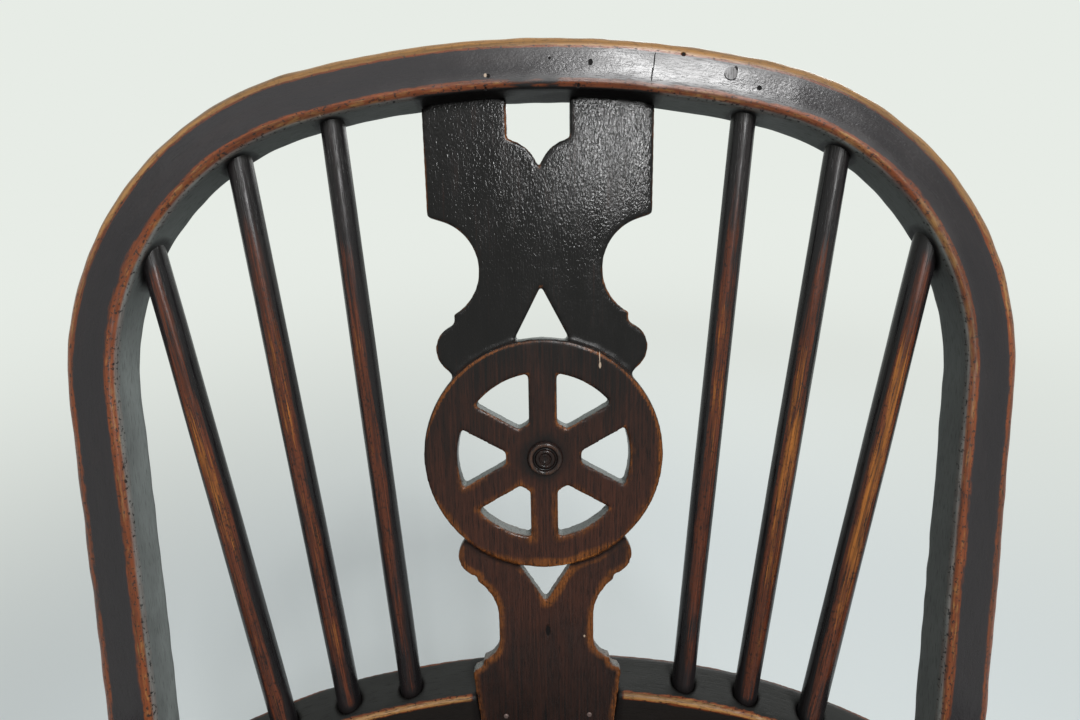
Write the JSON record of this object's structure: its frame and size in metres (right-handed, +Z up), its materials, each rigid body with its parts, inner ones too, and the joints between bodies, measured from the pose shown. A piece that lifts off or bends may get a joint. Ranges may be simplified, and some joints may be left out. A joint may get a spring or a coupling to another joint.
{
  "type": "wheelback armchair",
  "caption": "Armchair with a bent bow over a bent arm rail, upright sticks, a pierced centre board with a wheel in relief, a hollowed plank seat and splayed turned legs.",
  "frame": {"origin": "on the floor, under the middle of the chair's bounding box", "axes": "+Z up from the floor, +Y towards the chair's back, +X to the right of someone who looks at its front"},
  "size_m": [0.6166, 0.5238, 1.0135],
  "materials": {
    "bow_ash": "dark stained and waxed, worn golden on its edges",
    "stick_ash": "dark stained and waxed, worn red-brown down the front",
    "splat_fruitwood": "old varnish, crackled at the top and worn brown lower down",
    "seat_elm": "waxed and polished by use, with bold grain",
    "turned_beech": "dark stained and waxed",
    "nail_iron": "dull, rubbed iron"
  },
  "bodies": {
    "root": {"arm_bow": "bow_ash", "arm_support_left": "turned_beech", "arm_support_right": "turned_beech", "arm_wedges": "turned_beech", "back_bow": "bow_ash", "bow_foot_pegs": "bow_ash", "bow_peg": "bow_ash", "cross_stretcher": "turned_beech", "hand_pad_left": "bow_ash", "hand_pad_right": "bow_ash", "leg_back_left": "turned_beech", "leg_back_right": "turned_beech", "leg_front_left": "turned_beech", "leg_front_right": "turned_beech", "long_stick_left_1": "stick_ash", "long_stick_left_2": "stick_ash", "long_stick_left_3": "stick_ash", "long_stick_right_1": "stick_ash", "long_stick_right_2": "stick_ash", "long_stick_right_3": "stick_ash", "seat": "seat_elm", "short_stick_left_1": "stick_ash", "short_stick_left_2": "stick_ash", "short_stick_left_3": "stick_ash", "short_stick_right_1": "stick_ash", "short_stick_right_2": "stick_ash", "short_stick_right_3": "stick_ash", "splat": "splat_fruitwood", "splat_nails": "nail_iron", "stretcher_left": "turned_beech", "stretcher_right": "turned_beech", "wheel_boss": "splat_fruitwood"}
  },
  "joints": []
}
